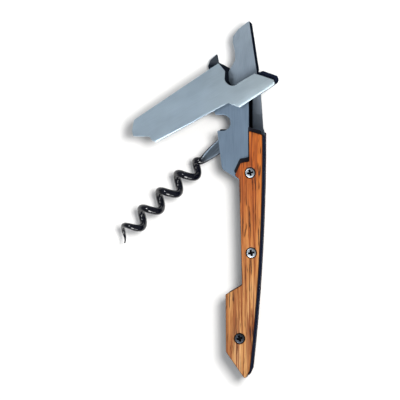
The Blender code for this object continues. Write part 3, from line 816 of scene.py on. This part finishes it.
def turned_mesh(name, centre, profile, steps):
    """A turned mesh from an axis-to-axis profile of (radius, z), from the top down."""
    shape = bmesh.new()
    rings = []
    for radius, z in profile:
        if radius == 0:
            rings.append([shape.verts.new((centre.x, centre.y, z))])
            continue
        ring = []
        for step in range(steps):
            angle = 2 * math.pi * step / steps
            ring.append(shape.verts.new((centre.x + radius * math.cos(angle),
                                         centre.y + radius * math.sin(angle), z)))
        rings.append(ring)
    for upper, lower in zip(rings, rings[1:]):
        for step in range(steps):
            following = (step + 1) % steps
            corners = [upper[step % len(upper)], lower[step % len(lower)],
                       lower[following % len(lower)], upper[following % len(upper)]]
            unique = list(dict.fromkeys(corners))
            if len(unique) > 2:
                shape.faces.new(unique)
    return to_mesh(shape, name)


# A screw: its dome, its rim below the dome, its shank, and the arms of its cross, each with its
# level from the dome's top, its half length and its half width.
SCREW_SIDES = 48
DOME_HEIGHT = 0.24
SKIRT_DEPTH = 1.22
HEAD_DEPTH = 1.3
HEAD_EDGE = 0.08
SHANK_RADIUS = 1.0
SHANK_END_RADIUS = 0.8
SHANK_EDGE = 0.2
CROSS_TOP = (0.3, 1.5, 0.52)
CROSS_FLOOR = (-0.75, 1.05, 0.34)
CROSS_TURN = 0.25
CORNERS = ((-1, -1), (1, -1), (1, 1), (-1, 1))


def screw_profile(radius, top, end, up):
    """A screw's (radius, z) profile from the dome's top to the shank's end, in metres."""
    dome = []
    for degrees in range(0, 91, 9):
        angle = math.radians(degrees)
        drop = DOME_HEIGHT * MM * (1 - math.cos(angle))
        dome.append((radius * math.sin(angle), top - up * drop))
    under = top - up * HEAD_DEPTH * MM
    skirt = [(radius, top - up * SKIRT_DEPTH * MM), (radius - HEAD_EDGE * MM, under)]
    shank = [(SHANK_RADIUS * MM, under), (SHANK_RADIUS * MM, end + up * SHANK_EDGE * MM),
             (SHANK_END_RADIUS * MM, end), (0, end)]
    return dome + skirt + shank


def cross_cutter(name, centre, top, up):
    """Two tapered bars that cut a screw's cross."""
    shape = bmesh.new()
    for turn in (CROSS_TURN, CROSS_TURN + math.pi / 2):
        rings = []
        for level, length, width in (CROSS_TOP, CROSS_FLOOR):
            ring = []
            for x, y in CORNERS:
                spot = Vector((x * length, y * width)) * MM
                spot.rotate(Matrix.Rotation(turn, 2))
                ring.append(shape.verts.new((centre + spot).to_3d()
                                            + Vector((0, 0, top + up * level * MM))))
            rings.append(ring)
        upper, lower = rings
        shape.faces.new(upper)
        shape.faces.new(lower)
        for first in range(len(CORNERS)):
            second = (first + 1) % len(CORNERS)
            shape.faces.new((upper[first], upper[second], lower[second], lower[first]))
    cutter = bpy.data.objects.new(name, to_mesh(shape, name))
    cutter.data.materials.append(RECESS)
    bpy.context.scene.collection.objects.link(cutter)
    return cutter


def screw_piece(node, faces_up, material):
    """A domed cross-head screw, its recess tapering to the middle."""
    low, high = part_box(node)
    centre = ((low + high) / 2).xy
    up = 1 if faces_up else -1
    top, end = (high[2], low[2]) if faces_up else (low[2], high[2])
    name = node + "_fine"
    profile = screw_profile((high[0] - low[0]) / 2, top, end, up)
    mesh = turned_mesh(name, centre, profile, SCREW_SIDES)
    piece = add_piece(name, mesh, node, material, ROUND_CREASE)
    cutter = cross_cutter(node + "_recess", centre, top, up)
    boolean = piece.modifiers.new("Recess", "BOOLEAN")
    boolean.object = cutter
    boolean.use_self = True
    boolean.material_mode = "TRANSFER"
    apply_modifiers(piece)
    bpy.data.objects.remove(cutter, do_unlink=True)


def apply_modifiers(piece):
    bpy.context.view_layer.update()
    depsgraph = bpy.context.evaluated_depsgraph_get()
    mesh = bpy.data.meshes.new_from_object(piece.evaluated_get(depsgraph))
    piece.modifiers.clear()
    piece.data = mesh
    mesh.set_sharp_from_angle(angle=math.radians(ROUND_CREASE))


# Painted shadow: a black fibre sheet shows past the scale's head end as the scale's shadow on the
# plate. How far it shows, and from which Y it starts to. The sheet lies between two depths under
# the scale.
SHADOW_FIBRE_SHOW = (-0.6, 1.6)
SHADOW_FIBRE_FADE = 15.0
SHADOW_FIBRE_FADE_LENGTH = 4.0
SHADOW_FIBRE_NEAR = 0.03
SHADOW_FIBRE_FAR = 0.28
SHADOW_FIBRE_EDGE = 0.05


def shadow_fibre_piece(side, faces_up):
    """A thin black fibre sheet in the gap under a scale; its head end shows as a painted shadow."""
    low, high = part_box(side + "_scale")
    near, far = SHADOW_FIBRE_NEAR * MM, SHADOW_FIBRE_FAR * MM
    level = (low[2] - far, low[2] - near) if faces_up else (high[2] + near, high[2] + far)
    outline = []
    for point in section_loops(side + "_scale")[0]:
        head = min(1.0, max(0.0, (point.y - SHADOW_FIBRE_FADE * MM) / (SHADOW_FIBRE_FADE_LENGTH * MM)))
        outline.append(point + Vector(SHADOW_FIBRE_SHOW) * MM * head)
    mesh = sheet_mesh(side + "_shadow_fibre", [ease(outline, SHADOW_FIBRE_REACH)], *level, SHADOW_FIBRE_EDGE)
    piece = bpy.data.objects.new(side + "_shadow_fibre", mesh)
    bpy.context.scene.collection.objects.link(piece)
    mesh.materials.clear()
    mesh.materials.append(SHADOW_FIBRE)
    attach(piece, "handle")


# Pieces, each sheet with its edge rounding.
SCALE_EDGE = 0.42
LINER_EDGE = 0.1
BLOCK_EDGE = 0.2
HEEL_EDGE = 0.19
DARK_SCREW_INDEX = 3

for name in ("front_scale", "back_scale"):
    sheet_piece(name, SCALE_EDGE, SCALE_REACH)
sheet_piece("front_liner", LINER_EDGE, peened=WORM_PIVOT)
sheet_piece("back_liner", LINER_EDGE, material=BACK_LINER_STEEL, peened=WORM_PIVOT)
for name in ("back_spring", "butt_spacer"):
    sheet_piece(name, BLOCK_EDGE)
sheet_piece("heel_block", HEEL_EDGE)
cheek_piece("front_cheek", True)
cheek_piece("back_cheek", False, BACK_CHEEK_STEEL)
blade_piece()
worm_piece()
for side in ("front", "back"):
    for index in (1, 2, 3):
        darker_steel = DARK_SCREW_STEEL if index == DARK_SCREW_INDEX else None
        screw_piece(f"{side}_screw_{index}", side == "front", darker_steel)
    shadow_fibre_piece(side, side == "front")
for name in sorted(NODES):
    if NODE_SLOT[name] == "screw_steel" and "_screw_" not in name:
        round_copy(name, MATERIALS["plate_steel"] if name == "worm_pin" else None)


# The room: a white floor, soft lights and a plain sky. Lengths and places are in metres.
FLOOR_SIDE = 3.0
FLOOR_DROP = 0.0003
SKY_STRENGTH = 0.50
SKY_GLOSS_SHARE = 0.378
SKY_COLOUR = (0.97, 0.985, 1.0, 1.0)
LIGHT_TARGET = (-0.02, 0.0, 0.0)

# The key shines on matt surfaces only, from the right. (name, place, size, power)
KEY = ("key", (0.22, 0.14, 0.77), (0.21, 0.21), 5.9)
KEY_COLOUR = (1.0, 0.985, 0.96)

# The rest only show in gloss: a broad one for the flat steel, then ones for the coil's streaks
# and dots and the ground edges.
GLOSS_LIGHTS = [
    ("mirror", (-0.16, -0.34, 0.62), (0.30, 0.30), 1.5),
    ("streak", (-0.20, -0.58, 0.55), (0.30, 0.28), 4.0),
    ("glint", (-0.04, -0.45, 0.58), (0.50, 0.035), 1.1),
    ("rim", (0.22, -0.66, 0.42), (0.50, 0.14), 1.9),
    ("spark", (-0.38, 0.26, 0.58), (0.11, 0.11), 1.8),
]


def make_floor():
    shape = bmesh.new()
    bmesh.ops.create_grid(shape, x_segments=2, y_segments=2, size=FLOOR_SIDE / 2)
    bmesh.ops.translate(shape, verts=shape.verts, vec=(0, 0, -FLOOR_DROP))
    mesh = to_mesh(shape, "floor")
    mesh.materials.append(floor_material())
    floor = bpy.data.objects.new("floor", mesh)
    bpy.context.scene.collection.objects.link(floor)


def area_light(name, place, size, power, colour=(1, 1, 1), gloss=True, diffuse=True):
    """A soft box aimed at the tool; gloss and diffuse say which kind of shine it gives."""
    light = bpy.data.lights.new(name, "AREA")
    light.shape = "RECTANGLE"
    light.size, light.size_y = size
    light.energy = power
    light.color = colour
    lamp = bpy.data.objects.new(name, light)
    lamp.location = place
    aim = Vector(LIGHT_TARGET) - Vector(place)
    lamp.rotation_euler = aim.to_track_quat("-Z", "Y").to_euler()
    lamp.visible_glossy = gloss
    lamp.visible_diffuse = diffuse
    bpy.context.scene.collection.objects.link(lamp)


def make_sky():
    """An even sky for the matt surfaces, and a dimmer one in the metal's mirror."""
    world = bpy.data.worlds.new("studio")
    bpy.context.scene.world = world
    world.use_nodes = True
    tree = world.node_tree
    background = tree.nodes["Background"]
    background.inputs["Color"].default_value = SKY_COLOUR
    path = tree.nodes.new("ShaderNodeLightPath")
    level = tree.nodes.new("ShaderNodeMapRange")
    level.inputs["To Min"].default_value = SKY_STRENGTH
    level.inputs["To Max"].default_value = SKY_STRENGTH * SKY_GLOSS_SHARE
    tree.links.new(path.outputs["Is Glossy Ray"], level.inputs["Value"])
    tree.links.new(level.outputs["Result"], background.inputs["Strength"])


# The camera looks down at the tool, leaning a little towards its back and head.
PIXELS_PER_MM = 2.4
FRAME_PIXELS = 400
AIM = (-20.8, 8.3, CAD_BOX[1][2] / MM)
LEAN_X = math.radians(6.0)
LEAN_Y = math.radians(3.5)
CAMERA_DISTANCE = 3.0
SENSOR = 36.0
CLIP_END = 10


def make_camera():
    data = bpy.data.cameras.new("camera")
    data.sensor_width = SENSOR
    data.lens = SENSOR * CAMERA_DISTANCE / (FRAME_PIXELS / PIXELS_PER_MM * MM)
    data.clip_end = CLIP_END
    camera = bpy.data.objects.new("camera", data)
    aim = Vector(AIM) * MM
    lean = Vector((math.tan(LEAN_X), math.tan(LEAN_Y), 1)).normalized()
    camera.location = aim + lean * CAMERA_DISTANCE
    right = Vector((1, 0, 0)) - lean * lean.x
    right.normalize()
    up = lean.cross(right)
    rotation = Matrix((right, up, lean)).transposed()
    camera.rotation_euler = rotation.to_euler()
    bpy.context.scene.collection.objects.link(camera)
    bpy.context.scene.camera = camera


make_floor()
make_sky()
area_light(*KEY, KEY_COLOUR, gloss=False)
for lamp_values in GLOSS_LIGHTS:
    area_light(*lamp_values, diffuse=False)
make_camera()
bpy.context.scene.view_settings.view_transform = "Standard"
